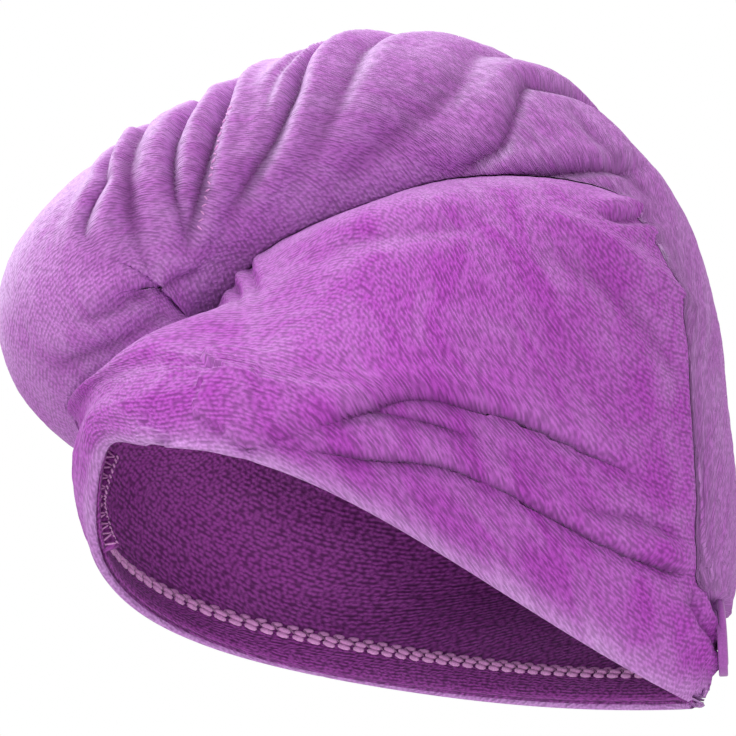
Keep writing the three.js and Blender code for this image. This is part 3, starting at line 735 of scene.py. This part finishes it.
class TURBAN_OT_tail(bpy.types.Operator):
    """Model the wound tail, with its folds, lying on the hood"""

    bl_idname = "turban.tail"
    bl_label = "Wound tail"

    def execute(self, context):
        share = np.linspace(0, 1, TAIL_STEPS + 1)[:, None]
        turn = (np.arange(TAIL_AROUND) / TAIL_AROUND)[None, :]
        base = tail_point(share, turn)
        tree = surface_tree(base)
        turns = np.broadcast_to(turn, base.shape[:2])
        lines = []
        for fold in TAIL_FOLDS:
            run = find_on(tree, fold["run"])
            if fold["wrap"]:
                index = int(np.argmin(np.linalg.norm(base.reshape(-1, 3) - run[-1], axis=1)))
                start = index // TAIL_AROUND / TAIL_STEPS
                begin = turns.reshape(-1)[index]
                steps = np.linspace(0.12, 1, 8)
                onward = tail_point(start + 2 * WRAP_TWIST * fold["wrap"] * steps,
                                    begin - 0.5 * fold["wrap"] * steps)
                run = np.concatenate((run, onward))
            lines.append(smooth_run(run, 4))
        flat, facing, push, slide, shade = folded(base, TAIL_FOLDS, lines, False)
        hub = hub_on(tree)
        push += dents(flat, facing, hub) + dents(flat, facing, hub * (-1, 1, 1), 0.7)
        middle = find_on(tree, (FULLNESS[0],))[0]
        for sign in (1, -1):
            off = np.linalg.norm(flat - middle * (sign, 1, 1), axis=1) / FULLNESS[2]
            full = FULLNESS[1] * smooth(sign * facing[:, 0], 0.0, 0.4) * np.exp(-(off**2))
            slide += full[:, None] * np.array((sign, 0.0, -0.4))
        shape = base.shape[:2]
        slack = 1.1 * grain(shape, 21, 34) + 0.45 * grain(shape, 22, 11) + 0.16 * grain(shape, 23, 2)
        ends = smooth(np.repeat(share[:, 0], TAIL_AROUND), 0, 0.03)
        moved = flat + (push + slack.reshape(-1))[:, None] * facing * ends[:, None] + slide
        outer, _, _ = folded_hood()
        hood = surface_tree(outer)
        gap = 0.5
        angle = 2 * np.pi * turns.reshape(-1)
        edges = smooth(np.repeat(share[:, 0], TAIL_AROUND), EDGE_START, EDGE_FULL)
        edges = edges * smooth(np.abs(np.cos(angle)), 0.45, 0.97)
        upper = np.clip(-np.sin(angle), 0, None)
        low = moved[:, 2] < outer[..., 2].max() + 4
        for index in np.flatnonzero(low):
            near, normal, _, _ = hood.find_nearest(Vector(moved[index]))
            rest = gap - (gap - 0.12) * edges[index]
            seat = near + normal * (rest + 0.1 + 1.2 * upper[index])
            drawn = Vector(moved[index]).lerp(seat, edges[index])
            if (drawn - near).dot(normal) < rest:
                drawn = near + normal * (rest + (0.1 if upper[index] > 0 else 0.0))
            moved[index] = drawn
        points = moved.reshape(base.shape)
        facing = grid_normals(points)
        # Painted highlight: the pale attribute is higher on faces turned up and towards the key light.
        pale = 0.3 + 1.3 * smooth(facing[..., 2] * 0.66 - facing[..., 1] * 0.58 - facing[..., 0] * 0.05, 0.0, 0.8)
        piece = make_grid("towel_tail", points, 330.0, distance_up(base), material("outer_pile"), pale,
                          shade=shade.reshape(shape))
        done(piece, "towel_pile", "twisted_tail")
        return {"FINISHED"}


HEM_HEIGHT, HEM_THICKNESS, HEM_GAP = 15.5, 1.9, 0.4  # mm
HEM_AROUND, HEM_PROFILE = 420, 9
SEAM_HALF = 1.3  # mm, half the front seam's thickness
ROWS = ((11.3, 5.2, 1.5, 5.9), (14.6, 4.6, 0.95, 5.9))  # mm: height, length, half width, pitch


def share_at_height(turn, height):
    """The hood's level at heights along the cloth above the opening."""
    levels = np.linspace(0, 0.5, 126)
    ring = hood_point(levels[:, None], np.asarray(turn)[None, :], 0.0)
    up = distance_up(ring)
    return np.array([np.interp(height, up[:, k], levels) for k in range(up.shape[1])])


def hem_depth(height):
    """How far the hem's face stands in from the wall, rounded over at its top."""
    share = np.clip(height / HEM_HEIGHT, 0, 1)
    return HEM_GAP + HEM_THICKNESS * (1 - share**9) * (0.75 + 0.25 * smooth(share, 0, 0.2))


class TURBAN_OT_hem(bpy.types.Operator):
    """Model the hem, turned up inside the opening all the way round"""

    bl_idname = "turban.hem"
    bl_label = "Hem"

    def execute(self, context):
        start = (SEAM_HALF + 0.6) / (math.pi * settings().hood_width / MM)
        turn = np.linspace(start, 1 - start, HEM_AROUND)
        heights = np.linspace(0, HEM_HEIGHT, HEM_PROFILE + 1)
        rings = []
        phase = distance_up(hood_point(0.0, turn, 0.0)[:, None])[:, 0] * 2 * math.pi / ROWS[0][3]
        for height in heights:
            dip = sum(0.55 * math.exp(-(((height - row[0]) / 1.6) ** 2)) for row in ROWS)
            pucker = 0.22 * np.sin(phase) * math.exp(-(((height - ROWS[0][0] + 3) / 4) ** 2))
            depth = hem_depth(height) - dip + pucker
            rings.append(inside_point(share_at_height(turn, height), turn, depth))
        for height in heights[::-3]:
            depth = np.full_like(turn, HEM_GAP * 0.5)
            rings.append(inside_point(share_at_height(turn, height), turn, depth))
        points = np.stack(rings, 1)
        along = distance_up(points)
        piece = make_grid("rim_hem", points, 2 * HEM_HEIGHT + 4, along, material("inner_pile"),
                          np.full(points.shape[:2], 0.05), swap=True)
        done(piece, "towel_inside", "rim_hem_left", "rim_hem_right")
        return {"FINISHED"}


def bead_template():
    """The corners and faces of a low round bead, modelled once for every stitch."""
    bpy.ops.object.select_all(action="DESELECT")
    bpy.ops.mesh.primitive_uv_sphere_add(segments=8, ring_count=6, radius=1.0)
    bead = bpy.context.object
    corners = np.array([v.co[:] for v in bead.data.vertices])
    faces = [tuple(p.vertices) for p in bead.data.polygons]
    bpy.data.objects.remove(bead, do_unlink=True)
    return corners, faces


def stitches(name, places, ways, outs, lengths, widths, thick):
    """One mesh of stitches: each lies along its way and stands out of the cloth."""
    corners, faces = bead_template()
    points, all_faces = [], []
    for place, way, out, length, width in zip(places, ways, outs, lengths, widths):
        across = np.cross(out, way)
        base = len(points) * len(corners)
        shape = corners.copy()
        shape[:, 0] = np.sign(shape[:, 0]) * np.abs(shape[:, 0]) ** 0.7
        body = (place + shape[:, :1] * way * length / 2 + shape[:, 1:2] * across * width
                + shape[:, 2:] * out * thick)
        points.append(body)
        all_faces += [tuple(base + i for i in face) for face in faces]
    mesh = bpy.data.meshes.new(name)
    mesh.from_pydata((np.concatenate(points) * MM).tolist(), [], all_faces)
    mesh.polygons.foreach_set("use_smooth", [True] * len(mesh.polygons))
    mesh.materials.append(material("stitch_thread"))
    mesh.update()
    piece = bpy.data.objects.new(name, mesh)
    bpy.context.scene.collection.objects.link(piece)
    return piece


def hem_face(turn, height, lift):
    """Places on the hem's face, with the ways along it, up it and out of it."""
    turn = np.atleast_1d(turn)
    step = 0.001
    depth = np.full_like(turn, hem_depth(height) + lift)
    here = inside_point(share_at_height(turn, height), turn, depth)
    on = inside_point(share_at_height(turn + step, height), turn + step, depth)
    above = inside_point(share_at_height(turn, height + 0.5), turn, depth)
    along, up = unit(on - here), unit(above - here)
    return here, along, up, unit(np.cross(up, along))


class TURBAN_OT_hem_stitching(bpy.types.Operator):
    """Model the two rows of cover stitches along the hem, with the threads that cross between them"""

    bl_idname = "turban.hem_stitching"
    bl_label = "Hem stitching"

    def execute(self, context):
        start = (SEAM_HALF + 1.6) / (math.pi * settings().hood_width / MM)
        fine = np.linspace(start, 1 - start, 1600)
        dice = np.random.default_rng(31)
        for index, (height, length, width, pitch) in enumerate(ROWS):
            line, _, _, _ = hem_face(fine, height, 0.0)
            gone = distance_up(line[:, None])[:, 0]
            count = int(gone[-1] / pitch)
            turn = np.interp((np.arange(count) + 0.5) * gone[-1] / count, gone, fine)
            here, along, up, out = hem_face(turn, height, 0.25)
            lean = 0.16 if index == 0 else -0.1
            tilt = (lean + dice.normal(0, 0.05, count))[:, None]
            ways = unit(along + tilt * up)
            lengths = length * dice.uniform(0.9, 1.06, count)
            if index == 0:
                apart = 0.62 * width * unit(np.cross(out, ways))
                places = np.concatenate((here + apart, here - apart))
                piece = stitches("hem_stitches_thick", places, np.tile(ways, (2, 1)), np.tile(out, (2, 1)),
                                 np.tile(lengths, 2), np.full(2 * count, 0.72 * width), 0.75)
            else:
                piece = stitches("hem_stitches_thin", here, ways, out, lengths, np.full(count, width), 0.6)
            done(piece, "overlock_thread")
            if index == 0:
                rise = ROWS[1][0] - ROWS[0][0]
                middle, along, up, out = hem_face(turn + 0.0045, height + rise / 2, 0.1)
                for lean, name in ((0.9, "hem_crossing_threads"),):
                    ways = unit(lean * along + up)
                    cross = stitches(name, middle, ways, out, np.full(count, rise * 1.25),
                                     np.full(count, 0.34), 0.45)
                    cross.data.materials[0] = material("crossing_thread")
                    done(cross, "overlock_thread")
        return {"FINISHED"}


class TURBAN_OT_front_seam(bpy.types.Operator):
    """Model the overlocked seam allowance at the front, and the loops of thread over its edge"""

    bl_idname = "turban.front_seam"
    bl_label = "Front seam"

    def execute(self, context):
        top, wide, clear = 44.0, 5.5, 0.6
        heights = np.linspace(0.5, top, 40)
        zero = np.zeros(1)
        corners = [(-SEAM_HALF, 0.0), (-SEAM_HALF, 0.5 * wide), (-SEAM_HALF, wide - 1.0),
                   (-0.5 * SEAM_HALF, wide), (0.5 * SEAM_HALF, wide), (SEAM_HALF, wide - 1.0),
                   (SEAM_HALF, 0.5 * wide), (SEAM_HALF, 0.0)]
        rings = []
        for height in heights:
            share = share_at_height(zero, height)
            wall, edge = (inside_point(share, zero, np.full(1, clear + d))[0] for d in (0.0, 1.0))
            inward = edge - wall
            wave = 1 + 0.05 * math.sin(height * 2.1)
            ring = [wall + inward * depth * wave + np.array((x, 0, 0)) for x, depth in corners]
            rings.append(ring)
        points = np.array(rings)[:, ::-1]
        piece = make_grid("front_seam_allowance", points, 2 * wide + 5, distance_up(points),
                          material("inner_pile"), np.full(points.shape[:2], 0.1))
        done(piece, "towel_inside", "front_seam")
        places, ways, outs, lengths, widths = [], [], [], [], []
        for number, height in enumerate(np.arange(1.5, top - 1, 2.3)):
            share = share_at_height(zero, height)
            wall, edge = (inside_point(share, zero, np.full(1, clear + d))[0] for d in (0.3, wide - 0.2))
            inward = unit(edge - wall)
            rise = np.cross(np.array((1.0, 0, 0)), inward)
            lean = 0.32 if number % 2 else -0.32
            for x in (SEAM_HALF + 0.15, -SEAM_HALF - 0.15):
                places.append((wall + edge) / 2 + np.array((x, 0, 0)))
                ways.append(unit(inward + lean * rise))
                outs.append(np.array((math.copysign(1.0, x), 0, 0)))
                lengths.append(wide * 0.98)
                widths.append(0.36)
            places.append(edge + inward * 0.2)
            ways.append(unit(np.array((1.0, 0, 0)) + 0.2 * lean * rise))
            outs.append(inward)
            lengths.append(2 * SEAM_HALF + 0.6)
            widths.append(0.45)
        loops = stitches("front_seam_thread", places, ways, outs, lengths, widths, 0.4)
        done(loops, "overlock_thread")
        return {"FINISHED"}


SEAM_RUN = ((231, 106), (222, 128), (215, 156), (208, 190), (203, 212), (198, 236))  # pixels


class TURBAN_OT_tail_seam(bpy.types.Operator):
    """Model the small stitches that show beside the deepest fold of the tail"""

    bl_idname = "turban.tail_seam"
    bl_label = "Tail seam stitches"

    def execute(self, context):
        tail = bpy.data.objects["towel_tail"]
        count = (len(tail.data.vertices) - 2) // TAIL_AROUND
        flat = np.empty(len(tail.data.vertices) * 3)
        tail.data.vertices.foreach_get("co", flat)
        points = flat.reshape(-1, 3)[: count * TAIL_AROUND].reshape(count, TAIL_AROUND, 3) / MM
        tree = surface_tree(points)
        run = smooth_run(np.array(SEAM_RUN, float), 8)
        line = find_on(tree, run)
        gone = distance_up(line[:, None])[:, 0]
        marks = np.arange(1.0, gone[-1] - 1, 2.6)
        centre = np.stack([np.interp(marks, gone, line[:, k]) for k in range(3)], -1)
        places, ways, outs = [], [], []
        for number, place in enumerate(centre):
            near, normal, _, _ = tree.find_nearest(Vector(place))
            ahead = centre[min(number + 1, len(centre) - 1)] - centre[max(number - 1, 0)]
            out = np.array(normal)
            across = unit(np.cross(out, ahead))
            places.append(np.array(near) + 0.2 * out)
            ways.append(unit(across + (0.5 if number % 2 else -0.5) * unit(ahead)))
            outs.append(out)
        number = len(places)
        piece = stitches("tail_seam_stitches", places, ways, outs, [2.6] * number, [0.3] * number, 0.35)
        done(piece, "overlock_thread")
        return {"FINISHED"}


class TURBAN_OT_nape_clasp(bpy.types.Operator):
    """Model the button at the nape and the loop that holds the tail's end to it"""

    bl_idname = "turban.nape_clasp"
    bl_label = "Nape clasp"

    def execute(self, context):
        low, high = (np.array(c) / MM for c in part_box("nape_clasp"))
        radius, thick = 9.0, 3.0
        middle = ((low[0] + high[0]) / 2, low[1] + thick / 2, low[2] + radius)
        bpy.ops.object.select_all(action="DESELECT")
        bpy.ops.mesh.primitive_cylinder_add(vertices=48, radius=radius * MM, depth=thick * MM,
                                            location=[c * MM for c in middle], rotation=(math.pi / 2, 0, 0))
        button = bpy.context.object
        button.name = button.data.name = "nape_button"
        bpy.ops.object.transform_apply(location=True, rotation=True, scale=True)
        bpy.ops.object.mode_set(mode="EDIT")
        bpy.ops.mesh.select_mode(type="FACE")
        bpy.ops.mesh.select_all(action="DESELECT")
        bpy.ops.object.mode_set(mode="OBJECT")
        outer = max(button.data.polygons, key=lambda p: p.center.y if len(p.vertices) > 4 else -9)
        outer.select = True
        bpy.ops.object.mode_set(mode="EDIT")
        bpy.ops.mesh.inset(thickness=1.6 * MM, depth=0)
        bpy.ops.mesh.inset(thickness=0.8 * MM, depth=-0.9 * MM)
        bpy.ops.object.mode_set(mode="OBJECT")
        bevel = button.modifiers.new("Edge", "BEVEL")
        bevel.width, bevel.segments, bevel.limit_method = 0.5 * MM, 3, "ANGLE"
        bpy.ops.object.modifier_apply(modifier=bevel.name)
        bpy.ops.object.shade_smooth_by_angle(angle=math.radians(35))
        button.data.materials.append(material("button_shell"))
        done(button, "button", "nape_clasp")
        half, back, level = 0.8 * radius, low[1] + 1.5, high[2]
        route = smooth_run(((-0.5 * half, back, level), (-half, back + 0.4, level - 6),
                            (-0.98 * half, back + 0.6, level - 13), (-0.5 * half, back + 0.6, level - 18.5),
                            (0, back + 0.6, level - 20.3), (0.5 * half, back + 0.6, level - 18.5),
                            (0.98 * half, back + 0.6, level - 13), (half, back + 0.4, level - 6),
                            (0.5 * half, back, level)), 8)
        ahead = unit(np.gradient(route, axis=0))
        out = np.array((0.0, 1.0, 0.0))
        across = unit(np.cross(ahead, out))
        angle = np.linspace(0, 2 * math.pi, 12, endpoint=False)
        rings = (route[:, None] + 1.2 * np.cos(angle)[None, :, None] * across[:, None]
                 + 1.2 * np.sin(angle)[None, :, None] * unit(np.cross(across, ahead))[:, None])
        rings = rings[:, ::-1]
        loop = make_grid("nape_loop", rings, 7.5, distance_up(rings), material("button_shell"))
        done(loop, "overlock_thread")
        return {"FINISHED"}


class TURBAN_OT_stage(bpy.types.Operator):
    """Set the floor, the light and the camera of the photograph"""

    bl_idname = "turban.stage"
    bl_label = "Floor, light and camera"

    def execute(self, context):
        look = settings()
        scene = context.scene
        bpy.ops.object.select_all(action="DESELECT")
        bpy.ops.mesh.primitive_plane_add(size=9.0, location=(0, 0, -0.62))
        floor = context.object
        floor.name = "floor"
        paint = bpy.data.materials.new("pale_floor")
        paint.use_nodes = True
        paint.node_tree.nodes["Principled BSDF"].inputs["Base Color"].default_value = (0.86, 0.86, 0.86, 1)
        paint.node_tree.nodes["Principled BSDF"].inputs["Roughness"].default_value = 0.9
        floor.data.materials.append(paint)
        target = Vector(VIEW_TARGET * MM)
        for name, place, size, power in (
                ("key", (0.75, -0.95, 1.25), 0.9, look.key_power),
                ("fill", (1.3, 0.5, -0.42), 1.4, 0.42 * look.key_power),
                ("top", (-0.3, 0.3, 1.6), 1.2, 0.5 * look.key_power)):
            lamp = bpy.data.lights.new(name, "AREA")
            lamp.size, lamp.energy = size, power
            stand = bpy.data.objects.new(name, lamp)
            stand.location = place
            stand.rotation_euler = (target - Vector(place)).to_track_quat("-Z", "Y").to_euler()
            scene.collection.objects.link(stand)
        world = bpy.data.worlds.new("studio")
        world.use_nodes = True
        tree = world.node_tree
        ground = tree.nodes["Background"]
        ground.inputs["Color"].default_value = (1, 1, 1, 1)
        seen = node(tree, "ShaderNodeLightPath")
        strength = node(tree, "ShaderNodeMapRange")
        strength.inputs["To Min"].default_value = look.world_strength
        strength.inputs["To Max"].default_value = 1.0
        tree.links.new(seen.outputs["Is Camera Ray"], strength.inputs["Value"])
        tree.links.new(strength.outputs["Result"], ground.inputs["Strength"])
        scene.world = world
        scene.view_settings.view_transform = "Standard"
        right, up, back = camera_axes()
        lens = bpy.data.cameras.new("camera")
        lens.sensor_width = SENSOR
        lens.lens = SENSOR * VIEW_DISTANCE / (FRAME_PIXELS * MM_PER_PIXEL)
        camera = bpy.data.objects.new("camera", lens)
        camera.location = Vector((VIEW_TARGET + VIEW_DISTANCE * back) * MM)
        camera.rotation_euler = Vector(back).to_track_quat("Z", "Y").to_euler()
        scene.collection.objects.link(camera)
        scene.camera = camera
        return {"FINISHED"}


class TurbanTowelSettings(bpy.types.PropertyGroup):
    opening_length: bpy.props.FloatProperty(
        name="Opening length", description="Forehead edge to nape edge, level", default=0.203, unit="LENGTH")
    opening_drop: bpy.props.FloatProperty(
        name="Opening drop", description="How much lower the nape edge is than the forehead edge",
        default=0.059, unit="LENGTH")
    hood_width: bpy.props.FloatProperty(
        name="Hood width", description="Across the widest part of the hood", default=0.170, unit="LENGTH")
    hood_height: bpy.props.FloatProperty(
        name="Hood height", description="Middle of the opening to the top of the hood",
        default=0.160, unit="LENGTH")
    cloth: bpy.props.FloatProperty(
        name="Cloth", description="Thickness of the hood's wall", default=0.0032, unit="LENGTH")
    tail_width: bpy.props.FloatProperty(
        name="Tail width", description="Across the wound tail over the forehead", default=0.112, unit="LENGTH")
    fold_depth: bpy.props.FloatProperty(
        name="Fold depth", description="Depth of every fold, as a share of the modelled one",
        default=1.0, min=0.0, max=1.5, subtype="FACTOR")
    pile_pitch: bpy.props.FloatProperty(
        name="Pile pitch", description="Distance between rows of loops", default=0.0016, unit="LENGTH")
    pile_colour: bpy.props.FloatVectorProperty(
        name="Pile", description="Colour of the outer pile", default=(0.53, 0.083, 0.59), subtype="COLOR")
    # The pale colour is also the sheen's tint and the colour of the painted highlight on faces turned towards the
    # key light.
    pale_colour: bpy.props.FloatVectorProperty(
        name="Brushed pile", description="Colour of the pile where it is brushed flat",
        default=(0.80, 0.53, 0.90), subtype="COLOR")
    inside_colour: bpy.props.FloatVectorProperty(
        name="Inside", description="Colour of the inner face", default=(0.44, 0.075, 0.46), subtype="COLOR")
    thread_colour: bpy.props.FloatVectorProperty(
        name="Thread", description="Colour of the sewing thread", default=(1.0, 0.45, 0.92), subtype="COLOR")
    button_colour: bpy.props.FloatVectorProperty(
        name="Button", description="Colour of the button", default=(0.42, 0.10, 0.47), subtype="COLOR")
    key_power: bpy.props.FloatProperty(
        name="Key light", description="Power of the key light", default=19.0, unit="POWER")
    world_strength: bpy.props.FloatProperty(
        name="Studio light", description="Strength of the even light all round", default=0.64,
        min=0.0, max=2.0, subtype="FACTOR")


OPERATORS = (
    TURBAN_OT_hood, TURBAN_OT_tail, TURBAN_OT_hem, TURBAN_OT_hem_stitching, TURBAN_OT_front_seam,
    TURBAN_OT_tail_seam, TURBAN_OT_nape_clasp, TURBAN_OT_stage,
)


class TURBAN_PT_panel(bpy.types.Panel):
    """The towel's sizes and colours, and the steps that make it"""

    bl_label = "Turban towel"
    bl_idname = "TURBAN_PT_panel"
    bl_space_type = "VIEW_3D"
    bl_region_type = "UI"
    bl_category = "Turban"

    def draw(self, context):
        column = self.layout.column()
        for name in TurbanTowelSettings.__annotations__:
            column.prop(context.scene.turban_towel, name)
        for operator in OPERATORS:
            column.operator(operator.bl_idname)


def register():
    bpy.utils.register_class(TurbanTowelSettings)
    bpy.types.Scene.turban_towel = bpy.props.PointerProperty(type=TurbanTowelSettings)
    for operator in OPERATORS:
        bpy.utils.register_class(operator)
    bpy.utils.register_class(TURBAN_PT_panel)


def unregister():
    bpy.utils.unregister_class(TURBAN_PT_panel)
    for operator in reversed(OPERATORS):
        bpy.utils.unregister_class(operator)
    del bpy.types.Scene.turban_towel
    bpy.utils.unregister_class(TurbanTowelSettings)


def main():
    register()
    for operator in OPERATORS:
        group, step = operator.bl_idname.split(".")
        getattr(getattr(bpy.ops, group), step)()


if __name__ == "__main__":
    main()
